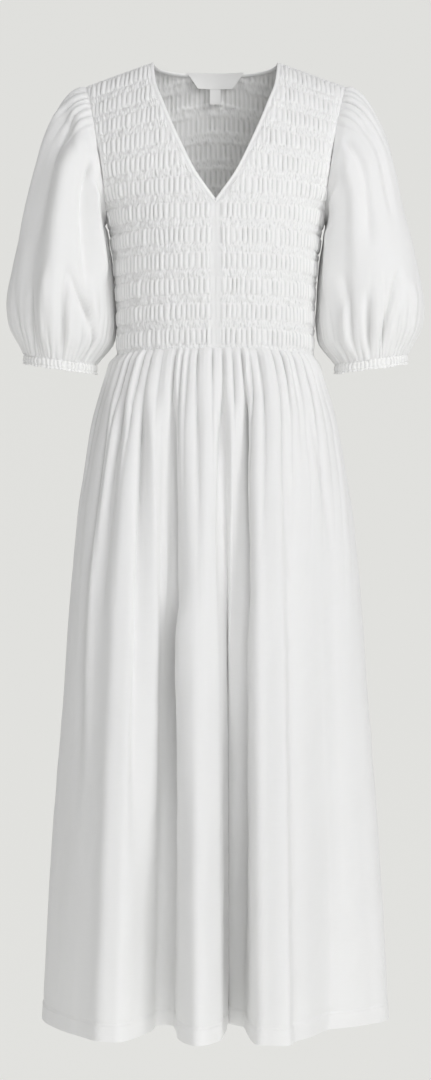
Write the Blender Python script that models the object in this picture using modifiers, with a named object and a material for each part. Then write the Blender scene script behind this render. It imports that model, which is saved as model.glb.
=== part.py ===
"""Smocked midi dress: a V-necked bodice smocked all over, a gathered midi skirt, puff sleeves.

Metres, +Z up. The front of the dress faces -Y and the viewer's right is +X. The origin lies
midway between the shoulders, 0.578 m above the middle of the dress, where a wearer carries it.
The dress keeps the hollow form that it has when it is worn. Every piece is a wall of cloth that
was cut and sewn on its own, and each seam keeps a slit of 0.3 mm.
"""
import math

import bmesh
import bpy
import numpy as np

DRESS = "smocked_midi_dress"

# Cloth
SEAM = 0.0003
WALL = 0.0015
SLEEVE_WALL = 0.0012
CUFF_WALL = 0.0016
LABEL_WALL = 0.001
BINDING_WIDTH = 0.004
BINDING_WALL = 0.0024

# Smocking: upright pleats in bands, held by rows of shirring between the bands.
PLEATS_A_QUARTER = 18
BAND_RELIEF = 0.0024
SHIRR_RELIEF = 0.0005
PLAIN_EDGE = 1.6          # pleat columns over which the relief fades at a seam
PLAIN_COLUMNS = 10        # columns of the smooth inside, for a quarter of the bodice

# Bodice levels are counted in smocked bands up from the waist seam.
UNDERARM_LEVEL = 5.5
CHEST_LEVEL = 6.0
SHOULDER_LEVEL = 12.0
SQUARENESS = 2.4          # exponent of the rounded cross-section
SHOULDER_SLOPE = 0.366
SHOULDER_BLEND = 0.015    # distance over which the two slopes turn into each other
NECK_HALF = 0.081
NECK_HEIGHT = 0.0131
ROUNDING_START = -0.13    # height above which the chest rolls back to the shoulder seam
FRONT_ROUNDING = 1.7
BACK_ROUNDING = 2.2

#          level  width   front   back    height   droop
TORSO = [
    (0.0,  0.1200, 0.0880, 0.0860, -0.3470, 0.0045),
    (2.0,  0.1212, 0.0960, 0.0920, -0.2870, 0.0040),
    (4.0,  0.1255, 0.1030, 0.0970, -0.2265, 0.0035),
    (5.5,  0.1318, 0.1015, 0.0990, -0.1810, 0.0030),
    (6.0,  0.1375, 0.1000, 0.0990, -0.1660, 0.0030),
    (7.0,  0.1505, 0.0970, 0.0990, -0.1315, 0.0030),
    (8.0,  0.1630, 0.0950, 0.0990, -0.0970, 0.0030),
    (10.0, 0.1720, 0.0880, 0.0980, -0.0270, 0.0030),
    (12.0, 0.1780, 0.0800, 0.0950, 0.0430, 0.0030),
]
TORSO_COLUMNS = ("level", "width", "front", "back", "height", "droop")

#           level  half width of the bodice at the armhole seam
ARMHOLE = [(5.5, 0.1318), (5.75, 0.1331), (6.0, 0.1342), (6.5, 0.1356), (7.0, 0.1367),
           (8.0, 0.1400), (9.5, 0.1470), (11.0, 0.1550), (12.0, 0.1610)]

#              level  half width of the V at the panel's edge
FRONT_NECK = [(5.75, 0.0), (6.0, 0.0062), (7.0, 0.0287), (8.0, 0.0440), (9.0, 0.0570),
              (10.0, 0.0680), (11.0, 0.0775), (12.0, NECK_HALF)]
BACK_NECK = [(11.02, 0.0), (11.17, 0.018), (11.34, 0.038), (11.6, 0.060), (11.8, 0.0725),
             (12.0, NECK_HALF)]

# Skirt
SKIRT_LENGTH = 0.8205
HALF_SKIRT_COLUMNS = 66
HALF_SKIRT_GATHERS = 22
GATHER_HEIGHT = 0.0042
SKIRT_ROWS = (0.0, 0.016, 0.05, 0.12, 0.22, 0.36, 0.55, 0.77, 1.0)

#         drop   width   front   back
SKIRT = [
    (0.000, 0.1200, 0.0880, 0.0860),
    (0.038, 0.1315, 0.0970, 0.0960),
    (0.091, 0.1465, 0.1040, 0.1040),
    (0.157, 0.1580, 0.1090, 0.1100),
    (0.240, 0.1700, 0.1130, 0.1140),
    (0.387, 0.1820, 0.1170, 0.1180),
    (0.520, 0.1890, 0.1200, 0.1210),
    (0.640, 0.1970, 0.1220, 0.1230),
    (0.776, 0.2045, 0.1235, 0.1240),
    (1.000, 0.2142, 0.1250, 0.1250),
]
SKIRT_COLUMNS = ("drop", "width", "front", "back")

#  Each fold line hangs from waist_x to hem_x; depth is how far it stands out of the round at the
#  hem, ridges more than 0 and valleys less. The last column is the share of the drop above
#  which the fold has not opened yet.
#                waist_x  hem_x   depth   opens
FRONT_FOLDS = [
    (-0.1200, -0.2142,  0.000, 0.00),
    (-0.0860, -0.1190,  0.060, 0.02),
    (-0.0520, -0.0550, -0.050, 0.00),
    (-0.0230, -0.0210,  0.068, 0.00),
    (-0.0050,  0.0045,  0.034, 0.00),
    (0.0110,   0.0145, -0.084, 0.00),
    (0.0350,   0.0390, -0.054, 0.00),
    (0.0480,   0.0550,  0.064, 0.00),
    (0.0700,   0.0820,  0.073, 0.00),
    (0.0940,   0.1400, -0.016, 0.05),
    (0.1060,   0.1880, -0.016, 0.10),
    (0.1200,   0.2142,  0.000, 0.00),
]
BACK_FOLDS = [
    (-0.1200, -0.2142,  0.000, 0.00),
    (-0.0940, -0.1500, -0.016, 0.05),
    (-0.0700, -0.0960,  0.058, 0.00),
    (-0.0400, -0.0420, -0.052, 0.00),
    (-0.0080,  0.0060,  0.056, 0.03),
    (0.0260,   0.0440, -0.040, 0.06),
    (0.0560,   0.0850,  0.060, 0.00),
    (0.0850,   0.1330, -0.020, 0.04),
    (0.1050,   0.1780,  0.014, 0.10),
    (0.1200,   0.2142,  0.000, 0.00),
]

# Sleeve, from the armhole (0) to the cuff (1): the outline's outer and inner points and the
# half depth of each ring.
SLEEVE_RING = 48
HEAD_GATHERS = 12
CUFF_GATHERS = 16
HEAD_HEIGHT = 0.0045
HEAD_LEAN = 0.0006        # extra room for the wall's inner edge where the head turns over
CUFF_RELIEF = 0.0014
#          along  out_x   out_z    in_x    in_z    depth
SLEEVE = [
    (0.00, 0.1613, -0.0160, 0.1308, -0.1840, 0.0570),
    (0.06, 0.1740, -0.0215, 0.1337, -0.1857, 0.0660),
    (0.15, 0.1905, -0.0400, 0.1354, -0.1900, 0.0710),
    (0.28, 0.2080, -0.0740, 0.1340, -0.1985, 0.0730),
    (0.44, 0.2215, -0.1170, 0.1312, -0.2130, 0.0740),
    (0.62, 0.2370, -0.1830, 0.1280, -0.2380, 0.0750),
    (0.78, 0.2500, -0.2400, 0.1255, -0.2680, 0.0760),
    (0.90, 0.2557, -0.2840, 0.1246, -0.3020, 0.0740),
    (0.96, 0.2515, -0.3120, 0.1290, -0.3310, 0.0660),
    (1.00, 0.2365, -0.3465, 0.1485, -0.3590, 0.0505),
]
SLEEVE_COLUMNS = ("along", "out_x", "out_z", "in_x", "in_z", "depth")
SLEEVE_ROWS = (0.0, 0.06, 0.16, 0.32, 0.52, 0.74, 0.90, 0.965, 1.0)
CUFF_DEPTH = 0.0130
CUFF_ROWS = (0.0, 0.5, 1.0)
CUFF_FLARE = 0.0010

# Bare labels inside the back neck: half widths and heights.
LABEL_TOP_HALF = 0.0365
LABEL_BOTTOM_HALF = 0.0225
LABEL_TOP = 0.0120
LABEL_BOTTOM = -0.0068
TAB_LEFT = -0.0075
TAB_RIGHT = 0.0065
TAB_DROP = 0.0180

WHITE_COTTON = (0.90, 0.895, 0.88, 1.0)
LABEL_WHITE = (0.93, 0.93, 0.92, 1.0)


def smooth_step(value):
    """Ease a value from 0 to 1."""
    value = min(max(value, 0.0), 1.0)
    return value * value * (3.0 - 2.0 * value)


def curve_at(place, places, values):
    """Read a smooth curve through the given values, which never swings past them."""
    places = np.asarray(places, float)
    values = np.asarray(values, float)
    steps = np.diff(places)
    slopes = np.diff(values) / steps
    tangents = np.zeros_like(values)
    tangents[0], tangents[-1] = slopes[0], slopes[-1]
    product = slopes[:-1] * slopes[1:]
    rising = product > 0
    mean = np.zeros_like(product)
    mean[rising] = 2.0 * product[rising] / (slopes[:-1] + slopes[1:])[rising]
    tangents[1:-1] = mean
    place = np.clip(place, places[0], places[-1])
    index = np.clip(np.searchsorted(places, place, side="right") - 1, 0, len(steps) - 1)
    step = steps[index]
    t = (place - places[index]) / step
    start, end = values[index], values[index + 1]
    return (start * (1 + 2 * t) * (1 - t) ** 2 + tangents[index] * step * t * (1 - t) ** 2
            + end * t * t * (3 - 2 * t) + tangents[index + 1] * step * t * t * (t - 1))


def read(table, columns, name, place):
    """Read one named column of a table of sections, at a place in its first column."""
    index = columns.index(name)
    return curve_at(place, [row[0] for row in table], [row[index] for row in table])


def round_radius(angle, width, depth):
    """Radius of the rounded section at an angle from the centre front or back."""
    across = (abs(math.sin(angle)) / width) ** SQUARENESS
    along = (abs(math.cos(angle)) / depth) ** SQUARENESS
    return (across + along) ** (-1.0 / SQUARENESS)


def even_angles():
    """Angles that part a quarter of the bust evenly, as the straight grain does."""
    angles = np.linspace(0.0, math.pi / 2, 91)
    width = read(TORSO, TORSO_COLUMNS, "width", 4.0)
    depth = read(TORSO, TORSO_COLUMNS, "front", 4.0)
    radii = np.array([round_radius(angle, width, depth) for angle in angles])
    x, y = radii * np.sin(angles), radii * np.cos(angles)
    run = np.concatenate([[0.0], np.cumsum(np.hypot(np.diff(x), np.diff(y)))])
    return run / run[-1], angles


GRAIN, ANGLES = even_angles()


def shoulder_height(x):
    """Height of the shoulder line, carried on over the neck in a soft curve."""
    return NECK_HEIGHT - SHOULDER_SLOPE * (math.hypot(x, SHOULDER_BLEND) - NECK_HALF)


def torso_height(level, x):
    """Height of a bodice level at a distance from the centre."""
    side = (x / 0.13) ** 2
    if level <= CHEST_LEVEL:
        drop = read(TORSO, TORSO_COLUMNS, "droop", level) * side
        return read(TORSO, TORSO_COLUMNS, "height", level) - drop
    chest = torso_height(CHEST_LEVEL, x)
    shoulder = shoulder_height(x)
    share = (level - CHEST_LEVEL) / (SHOULDER_LEVEL - CHEST_LEVEL)
    return chest + share * (shoulder - chest)


def torso_point(grain, level, back):
    """Point of the plain bodice: grain 0 is the centre line, 1 is the side seam."""
    angle = math.copysign(np.interp(abs(grain), GRAIN, ANGLES), grain)
    width = read(TORSO, TORSO_COLUMNS, "width", level)
    depth = read(TORSO, TORSO_COLUMNS, "back" if back else "front", level)
    radius = round_radius(angle, width, depth)
    x, y = radius * math.sin(angle), radius * math.cos(angle)
    z = torso_height(level, x)
    shoulder = shoulder_height(x)
    climb = min(max((z - ROUNDING_START) / (shoulder - ROUNDING_START), 0.0), 1.0)
    power = BACK_ROUNDING if back else FRONT_ROUNDING
    y *= (1.0 - climb ** power) ** (1.0 / power)
    seam = 0.5 * SEAM
    return np.array([x, y + seam if back else -y - seam, z])


def torso_normal(grain, level, back):
    """Outward normal of the plain bodice."""
    step = 0.02
    if level > SHOULDER_LEVEL - step:
        return np.array([0.0, 0.0, 1.0])
    low = max(level - step, 0.0)
    left, right = grain - step, min(grain + step, 1.0)
    across = torso_point(right, level, back) - torso_point(left, level, back)
    up = torso_point(grain, level + step, back) - torso_point(grain, low, back)
    normal = np.cross(across, up)
    if back:
        normal = -normal
    if grain > 0.999:
        normal[1] = 0.0
    if grain < 0.001:
        normal[0] = 0.0
    return normal / np.linalg.norm(normal)


def grain_at(x, level, back):
    """Grain at a distance x from the centre, on one level."""
    samples = np.linspace(0.0, 1.0, 81)
    places = [torso_point(sample, level, back)[0] for sample in samples]
    return float(np.interp(x, places, samples))


def armhole_grain(level, back):
    """Grain of the armhole seam, which is the side seam below the arm."""
    if level <= UNDERARM_LEVEL:
        return 1.0
    x = curve_at(level, [row[0] for row in ARMHOLE], [row[1] for row in ARMHOLE])
    return grain_at(x, level, back)


def neck_grain(level, back):
    """Grain of the neck edge, which is the centre line below the neck."""
    table = BACK_NECK if back else FRONT_NECK
    if level <= table[0][0]:
        return 0.0
    x = curve_at(level, [row[0] for row in table], [row[1] for row in table])
    return grain_at(x, level, back)


def relief(grain, level, first, last, back):
    """Height of the smocking over the plain wall."""
    pleat = 0.5 - 0.5 * math.cos(2 * math.pi * PLEATS_A_QUARTER * grain)
    band = SHIRR_RELIEF + (BAND_RELIEF - SHIRR_RELIEF) * math.sin(math.pi * level) ** 2
    column = 0.5 / PLEATS_A_QUARTER
    to_side = smooth_step((last - grain) / (PLAIN_EDGE * column))
    to_neck = smooth_step((grain - first) / (PLAIN_EDGE * column))
    if back and first == 0.0:
        to_neck = 1.0
    to_top = smooth_step((SHOULDER_LEVEL - level) / 0.4)
    return pleat * band * to_side * to_neck * to_top


def outer_levels(back):
    """Levels of the smocked outside: the middle and the shirred edges of each band."""
    neck = [row[0] for row in (BACK_NECK if back else FRONT_NECK)]
    halves = np.arange(0.0, SHOULDER_LEVEL + 0.1, 0.5)
    near = [level for level in halves if not back or level < neck[0] - 0.2]
    extra = neck if back else []
    return sorted({round(float(level), 3) for level in [*near, *extra, 5.75]})


def inner_levels(back):
    """Levels of the plain inside: whole bands below the arm, all the outer ones above it."""
    return [level for level in outer_levels(back)
            if level >= UNDERARM_LEVEL or level == round(level)]


def row_grains(level, columns, back):
    """Grains of the points of one row, with its two ends on the panel's edges."""
    first, last = neck_grain(level, back), armhole_grain(level, back)
    margin = 0.35 / columns
    inside = [column / columns for column in range(columns + 1)
              if first + margin < column / columns < last - margin]
    return [first, *inside, last]


def zip_rows(lower, upper):
    """Triangles between two rows of points that differ in number; each point has its place."""
    faces, i, j = [], 0, 0
    while i < len(lower) - 1 or j < len(upper) - 1:
        lower_next = lower[i + 1][0] if i < len(lower) - 1 else math.inf
        upper_next = upper[j + 1][0] if j < len(upper) - 1 else math.inf
        if lower_next <= upper_next:
            faces.append((lower[i][1], lower[i + 1][1], upper[j][1]))
            i += 1
        else:
            faces.append((lower[i][1], upper[j + 1][1], upper[j][1]))
            j += 1
    return faces


def make_sheet(points, faces, back, levels, columns, outside):
    """Add one skin of a half panel, and return its rows as (level, [(grain, index)])."""
    rows = []
    for level in levels:
        grains = row_grains(level, columns, back)
        row = []
        for grain in grains:
            point, normal = torso_point(grain, level, back), torso_normal(grain, level, back)
            if outside:
                lift = relief(grain, level, grains[0], grains[-1], back)
            else:
                lift = -WALL
            row.append((grain, len(points)))
            points.append(point + normal * lift)
        rows.append((level, row))
    for (_, lower), (_, upper) in zip(rows, rows[1:]):
        triangles = zip_rows(lower, upper)
        if outside == back:
            triangles = [face[::-1] for face in triangles]
        faces.extend(triangles)
    return rows


def rim(outer, inner, turned):
    """Triangles that close the wall between the edges of its two skins."""
    triangles = zip_rows(inner, outer)
    return [face[::-1] for face in triangles] if turned else triangles


def half_panel(back):
    """Points and faces of half a bodice panel at +X; the back is left open at its centre."""
    points, faces = [], []
    outer = make_sheet(points, faces, back, outer_levels(back), 2 * PLEATS_A_QUARTER, True)
    inner = make_sheet(points, faces, back, inner_levels(back), PLAIN_COLUMNS, False)
    start = BACK_NECK[0][0] if back else 0.0
    skins = (outer, inner)
    side = [[(level, row[-1][1]) for level, row in skin] for skin in skins]
    neck = [[(level, row[0][1]) for level, row in skin if level >= start] for skin in skins]
    faces += rim(outer[0][1], inner[0][1], back)
    faces += rim(outer[-1][1], inner[-1][1], not back)
    faces += rim(*side, back)
    faces += rim(*neck, not back)
    return points, faces


def material(name, colour, roughness):
    """Make a plain cloth material."""
    cloth = bpy.data.materials.new(name)
    cloth.use_nodes = True
    shader = cloth.node_tree.nodes["Principled BSDF"]
    shader.inputs["Base Color"].default_value = colour
    shader.inputs["Roughness"].default_value = roughness
    shader.inputs["Metallic"].default_value = 0.0
    cloth.diffuse_color = colour
    return cloth


def add_piece(name, points, faces, colour=WHITE_COTTON):
    """Make a mesh object with its own material in the dress's collection."""
    mesh = bpy.data.meshes.new(name)
    mesh.from_pydata([tuple(map(float, point)) for point in points], [], faces)
    mesh.materials.append(material(name + "_cloth", colour, 0.85))
    mesh.shade_smooth()
    piece = bpy.data.objects.new(name, mesh)
    bpy.data.collections[DRESS].objects.link(piece)
    return piece


def turn_outwards(piece):
    """Make the faces of a closed or mirrored wall point out of the cloth."""
    bm = bmesh.new()
    bm.from_mesh(piece.data)
    bmesh.ops.recalc_face_normals(bm, faces=bm.faces)
    bm.to_mesh(piece.data)
    bm.free()


def add_wall(piece, thickness):
    """Give an open surface its thickness, inwards."""
    wall = piece.modifiers.new("Wall", "SOLIDIFY")
    wall.thickness = thickness
    wall.offset = -1.0
    wall.use_even_offset = False


def make_bodice():
    """Two smocked fronts that meet at the centre seam, and one smocked back."""
    points, faces = half_panel(back=False)
    for name, side in (("bodice_front_right", 1.0), ("bodice_front_left", -1.0)):
        placed = [(side * (point[0] + 0.5 * SEAM), point[1], point[2]) for point in points]
        turn_outwards(add_piece(name, placed, faces))
    points, faces = half_panel(back=True)
    back = add_piece("bodice_back", points, faces)
    turn_outwards(back)
    mirror = back.modifiers.new("Other half", "MIRROR")
    mirror.merge_threshold = 0.00001


def neck_edge():
    """Middle of the wall along the whole neck edge: the left V, the back, the right V."""
    front = [level for level in outer_levels(False) if level >= FRONT_NECK[0][0]]
    rear = [row[0] for row in BACK_NECK][::-1]
    half = []
    for levels, back in ((front, False), (rear[1:], True)):
        for level in levels:
            grain = neck_grain(level, back)
            normal = torso_normal(grain, level, back)
            half.append((torso_point(grain, level, back) - 0.5 * WALL * normal, normal))
    turned = [(point * (-1, 1, 1), normal * (-1, 1, 1)) for point, normal in half[-2:0:-1]]
    return half + turned


def make_binding():
    """Narrow self binding round the neck, mitred at the point of the V."""
    edge = neck_edge()
    count = len(edge)
    near, far, half = SEAM, SEAM + BINDING_WIDTH, 0.5 * BINDING_WALL
    profile = ((near, half), (near, -half), (near + 0.8 * BINDING_WIDTH, -half), (far, 0.0),
               (near + 0.8 * BINDING_WIDTH, half))
    points, faces = [], []
    for index, (point, normal) in enumerate(edge):
        before = point - edge[index - 1][0]
        after = edge[(index + 1) % count][0] - point
        before, after = before / np.linalg.norm(before), after / np.linalg.norm(after)
        tangent = (before + after) / np.linalg.norm(before + after)
        inward = np.cross(normal, tangent)
        inward /= np.linalg.norm(inward)
        mitre = 1.0 / max(float(np.dot(tangent, after)), 0.4)
        for reach, lift in profile:
            points.append(point + inward * reach * mitre + normal * lift)
    sides = len(profile)
    for index in range(count):
        here, there = index * sides, (index + 1) % count * sides
        for corner in range(sides):
            other = (corner + 1) % sides
            faces.append((here + corner, there + corner, there + other, here + other))
    turn_outwards(add_piece("neck_binding", points, faces))


def fold_depths(x, drop, folds):
    """How far the folds stand out of the round skirt, at places x and one share of the drop."""
    waist_x, hem_x, depth, opens = (np.array(column) for column in zip(*folds))
    width = read(SKIRT, SKIRT_COLUMNS, "width", drop)
    spread = (width - SKIRT[0][1]) / (SKIRT[-1][1] - SKIRT[0][1])
    places = waist_x + (hem_x - waist_x) * spread
    grown = depth * np.clip((drop - opens) / (1.0 - opens), 0.0, 1.0)
    return curve_at(x, places, grown)


def skirt_curve(drop, back):
    """Fine outline of half the skirt at one height, with its large folds."""
    width = read(SKIRT, SKIRT_COLUMNS, "width", drop)
    depth = read(SKIRT, SKIRT_COLUMNS, "back" if back else "front", drop)
    angles = np.linspace(-math.pi / 2, math.pi / 2, 721)
    radii = np.array([round_radius(angle, width, depth) for angle in angles])
    x, y = radii * np.sin(angles), radii * np.cos(angles)
    y = y + fold_depths(x, drop, BACK_FOLDS if back else FRONT_FOLDS) * np.minimum(
        1.0, y / (0.25 * depth))
    sign = 1.0 if back else -1.0
    return x, sign * (y + 0.5 * SEAM)


def skirt_row(drop, back):
    """One row of the skirt: points set evenly along its outline, lifted by the gathers."""
    x, y = skirt_curve(drop, back)
    run = np.concatenate([[0.0], np.cumsum(np.hypot(np.diff(x), np.diff(y)))])
    share = np.linspace(0.0, 1.0, HALF_SKIRT_COLUMNS + 1)
    x = np.interp(share * run[-1], run, x)
    y = np.interp(share * run[-1], run, y)
    side = np.gradient(x), np.gradient(y)
    length = np.hypot(*side)
    sign = 1.0 if back else -1.0
    normal_x, normal_y = -sign * side[1] / length, sign * side[0] / length
    turn = share * HALF_SKIRT_GATHERS
    size = 0.65 + 0.35 * np.sin(2.3 * turn + (1.0 if back else 0.0))
    wave = 0.5 + 0.5 * np.cos(2 * math.pi * turn)
    ends = np.minimum(1.0, np.minimum(share, 1.0 - share) * HALF_SKIRT_COLUMNS / 2.0)
    height = GATHER_HEIGHT * smooth_step(drop / 0.04) * (1.0 - smooth_step(drop / 0.5))
    lift = height * size * wave * ends
    rise = -0.0045 * (x / 0.13) ** 2 * (1.0 - drop)
    z = TORSO[0][4] - SEAM - drop * SKIRT_LENGTH + rise
    return [np.array(point) for point in zip(x + normal_x * lift, y + normal_y * lift, z)]


def grid_faces(rows, columns, closed=False):
    """Quads of a grid of points, each row one after another."""
    faces = []
    for row in range(rows - 1):
        for column in range(columns if closed else columns - 1):
            other = (column + 1) % columns
            start, below = row * columns, (row + 1) * columns
            faces.append((start + column, start + other, below + other, below + column))
    return faces


def make_skirt():
    """Front and back skirt panels, gathered into the waist seam."""
    for name, back in (("skirt_front", False), ("skirt_back", True)):
        rows = [skirt_row(drop, back) for drop in SKIRT_ROWS]
        points = [point for row in rows for point in row]
        faces = grid_faces(len(rows), HALF_SKIRT_COLUMNS + 1)
        if not back:
            faces = [face[::-1] for face in faces]
        piece = add_piece(name, points, faces)
        add_wall(piece, WALL)


def armhole_ring():
    """Points of the armhole seam, evenly set: down the front from the shoulder, up the back."""
    ring = []
    for back in (False, True):
        levels = [level for level in outer_levels(back) if level >= UNDERARM_LEVEL]
        edge = [torso_point(armhole_grain(level, back), level, back) for level in levels]
        edge = np.array(edge[::-1])
        run = np.concatenate([[0.0], np.cumsum(np.linalg.norm(np.diff(edge, axis=0), axis=1))])
        shares = np.linspace(0.0, run[-1], SLEEVE_RING // 2 + 1)
        half = [np.array([np.interp(share, run, edge[:, axis]) for axis in range(3)])
                for share in shares]
        ring += half[:-1] if not back else half[:0:-1]
    return ring


def sleeve_frame(along):
    """Centre, half span and half depth of one sleeve ring."""
    out_x, out_z, in_x, in_z, depth = (read(SLEEVE, SLEEVE_COLUMNS, name, along)
                                       for name in SLEEVE_COLUMNS[1:])
    outer, inner = np.array([out_x, 0.0, out_z]), np.array([in_x, 0.0, in_z])
    return 0.5 * (outer + inner), 0.5 * (outer - inner), depth


def sleeve_row(along, armhole, phase):
    """One ring of the sleeve, with the gathers of its head and of the cuff."""
    centre, span, depth = sleeve_frame(along)
    first_centre, first_span, first_depth = sleeve_frame(0.0)
    row = []
    for column in range(SLEEVE_RING):
        angle = 2 * math.pi * column / SLEEVE_RING
        ring = centre + span * math.cos(angle) + np.array([0, -depth * math.sin(angle), 0])
        first = (first_centre + first_span * math.cos(angle)
                 + np.array([0, -first_depth * math.sin(angle), 0]))
        point = ring + (armhole[column] - first) * (1.0 - smooth_step(along / 0.4))
        out = ring - centre
        out /= np.linalg.norm(out)
        top = 0.25 + 0.75 * (0.5 + 0.5 * math.cos(angle))
        head = 0.5 + 0.5 * math.cos(HEAD_GATHERS * angle + phase)
        head *= HEAD_HEIGHT * top * smooth_step(along / 0.1) * (1.0 - smooth_step(along / 0.6))
        cuff = CUFF_RELIEF * (0.5 + 0.5 * math.cos(CUFF_GATHERS * angle))
        cuff *= smooth_step((along - 0.7) / 0.2) * (1.0 + 1.2 * (1.0 - along) / 0.3)
        lean = HEAD_LEAN * (0.5 + 0.5 * math.cos(angle)) * (1.0 - smooth_step(along / 0.05))
        row.append(point + out * (head + cuff) + np.array([lean, 0.0, 0.0]))
    return row


def cuff_row(share):
    """One ring of the cuff, gathered on its elastic, below the sleeve's last ring."""
    centre, span, depth = sleeve_frame(1.0)
    drop = np.array([0.0, 0.0, -SEAM - share * CUFF_DEPTH])
    grow = 1.0 + share * CUFF_FLARE / depth
    row = []
    for column in range(SLEEVE_RING):
        angle = 2 * math.pi * column / SLEEVE_RING
        out = span * math.cos(angle) + np.array([0, -depth * math.sin(angle), 0])
        wave = CUFF_RELIEF * (0.5 + 0.5 * math.cos(CUFF_GATHERS * angle))
        row.append(centre + drop + out * grow + out / np.linalg.norm(out) * wave)
    return row


def make_sleeves():
    """Two full sleeves gathered into the armholes and into elastic cuffs."""
    armhole = armhole_ring()
    for name, side, phase in (("right", 1.0, 0.0), ("left", -1.0, math.pi)):
        sleeve = [sleeve_row(along, armhole, phase) for along in SLEEVE_ROWS]
        cuff = [cuff_row(share) for share in CUFF_ROWS]
        for part, rows, wall in (("sleeve_", sleeve, SLEEVE_WALL), ("cuff_", cuff, CUFF_WALL)):
            points = [(side * (point[0] + SEAM), point[1], point[2])
                      for row in rows for point in row]
            faces = grid_faces(len(rows), SLEEVE_RING, closed=True)
            if side < 0:
                faces = [face[::-1] for face in faces]
            add_wall(add_piece(part + name, points, faces), wall)


def inside_back(x, z):
    """Point and normal on the inside of the back panel, under a label."""
    chest = torso_height(CHEST_LEVEL, x)
    shoulder = shoulder_height(x)
    share = (z - chest) / (shoulder - chest)
    level = CHEST_LEVEL + share * (SHOULDER_LEVEL - CHEST_LEVEL)
    grain = grain_at(abs(x), level, True)
    side = np.array([math.copysign(1.0, x), 1.0, 1.0])
    lift = 0.5 * (WALL + BINDING_WALL) + SEAM
    normal = torso_normal(grain, level, True) * side
    return torso_point(grain, level, True) * side - normal * lift


def make_label(name, columns, rows, outline):
    """Bare woven label on the inside of the back; outline gives x from the share across."""
    points = []
    for row in range(rows + 1):
        for column in range(columns + 1):
            x, z = outline(column / columns, row / rows)
            points.append(inside_back(x, z))
    add_wall(add_piece(name, points, grid_faces(rows + 1, columns + 1), LABEL_WHITE), LABEL_WALL)


def main_outline(across, down):
    """The main label narrows downwards."""
    half = LABEL_TOP_HALF + (LABEL_BOTTOM_HALF - LABEL_TOP_HALF) * down
    return (2 * across - 1) * half, LABEL_TOP + (LABEL_BOTTOM - LABEL_TOP) * down


def tab_outline(across, down):
    """The size tab hangs under the main label."""
    return TAB_LEFT + (TAB_RIGHT - TAB_LEFT) * across, LABEL_BOTTOM - SEAM - TAB_DROP * down


def build():
    """Clear the scene and make the dress."""
    for old in list(bpy.data.objects):
        bpy.data.objects.remove(old, do_unlink=True)
    collection = bpy.data.collections.new(DRESS)
    bpy.context.scene.collection.children.link(collection)
    make_bodice()
    make_binding()
    make_skirt()
    make_sleeves()
    make_label("label_main", 8, 2, main_outline)
    make_label("label_size", 2, 2, tab_outline)


build()
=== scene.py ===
import math

import bpy
import numpy as np
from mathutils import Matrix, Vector


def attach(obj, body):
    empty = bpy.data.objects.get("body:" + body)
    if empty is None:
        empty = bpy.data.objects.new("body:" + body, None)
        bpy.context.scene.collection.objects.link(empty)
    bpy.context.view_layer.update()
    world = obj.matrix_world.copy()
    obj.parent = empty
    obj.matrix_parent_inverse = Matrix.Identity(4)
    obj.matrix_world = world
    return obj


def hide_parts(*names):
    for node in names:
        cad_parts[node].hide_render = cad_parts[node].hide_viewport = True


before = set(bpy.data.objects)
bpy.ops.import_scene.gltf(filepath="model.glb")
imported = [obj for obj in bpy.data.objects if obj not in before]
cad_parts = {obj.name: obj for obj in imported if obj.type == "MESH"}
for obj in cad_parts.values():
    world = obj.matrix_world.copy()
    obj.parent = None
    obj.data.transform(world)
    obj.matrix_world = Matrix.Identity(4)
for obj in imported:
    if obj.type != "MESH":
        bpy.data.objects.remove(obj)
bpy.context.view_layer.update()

# Smocked bodice: two fronts and a back of white cotton, shirred on elastic thread. Bands of
# upright pleats stand between narrow pinched rows; the fronts meet in a plain centre seam under
# the V, and every panel is sewn to its neighbours along its turned edges.
PLEAT_PITCH = 0.0062
FRONT_COLUMNS = 190
BACK_COLUMNS = 272
PLEAT_HEIGHT = 0.0034
PLEAT_ROUNDNESS = 0.62    # below 1 the pleats are broad tubes with narrow valleys between
PUCKER_HEIGHT = 0.0012
ZONE_BULGE = 0.0006
STITCH_GROOVE = 0.0007
STITCH_ROW = 0.67         # from a band's middle, 0, to the middle of the pinched zone, 1
SEAM_TUCK = 0.0003
SMOCK_REACH = 3           # columns to each side with which a valley's depth is compared
SMOCK_DEEP = 0.0022       # depth at which a valley between two pleats gets its full painted shade
SEAM_ALLOWANCE = 0.0022   # width of the edge that is turned in behind its neighbour
EDGE_ZONE = 0.012         # strip along a cut edge in which the mesh's columns close up
COTTON_WALL = 0.0008
RIM_ANGLE = math.radians(75.0)   # edges sharper than this, as at a wall's rim, stay sharp
BODICE_WALL = 0.0015      # wall of the bodice's solids, whose middle the neck edge follows
SEAM = 0.0003
WAIST_BAND = 0.030        # height of a smocked band at the waist
SHOULDER_BAND = 0.034
UNDERARM_LEVEL = 5.5
CHEST_LEVEL = 6.0
SHOULDER_LEVEL = 12.0
SQUARENESS = 2.4
SHOULDER_SLOPE = 0.366
SHOULDER_BLEND = 0.015    # distance over which the two slopes turn into each other
NECK_HALF = 0.081
NECK_HEIGHT = 0.0131
ROUNDING_START = -0.13
FRONT_ROUNDING = 1.7
BACK_ROUNDING = 2.2
WHITE = (0.925, 0.925, 0.92)
VALLEY_SHADE_TONE = 0.66        # painted shade: the colour is multiplied down to this deep in the valleys between pleats and gathers

# Rows of the mesh within one band, as shares of its height, closest along the stitching.
BAND_ROWS = np.array([0.0, 0.06, 0.12, 0.165, 0.21, 0.28, 0.38, 0.50, 0.62, 0.72, 0.79, 0.835,
                      0.88, 0.94])
LEVELS = np.concatenate([band + BAND_ROWS for band in range(12)] + [[12.0]])

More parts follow.
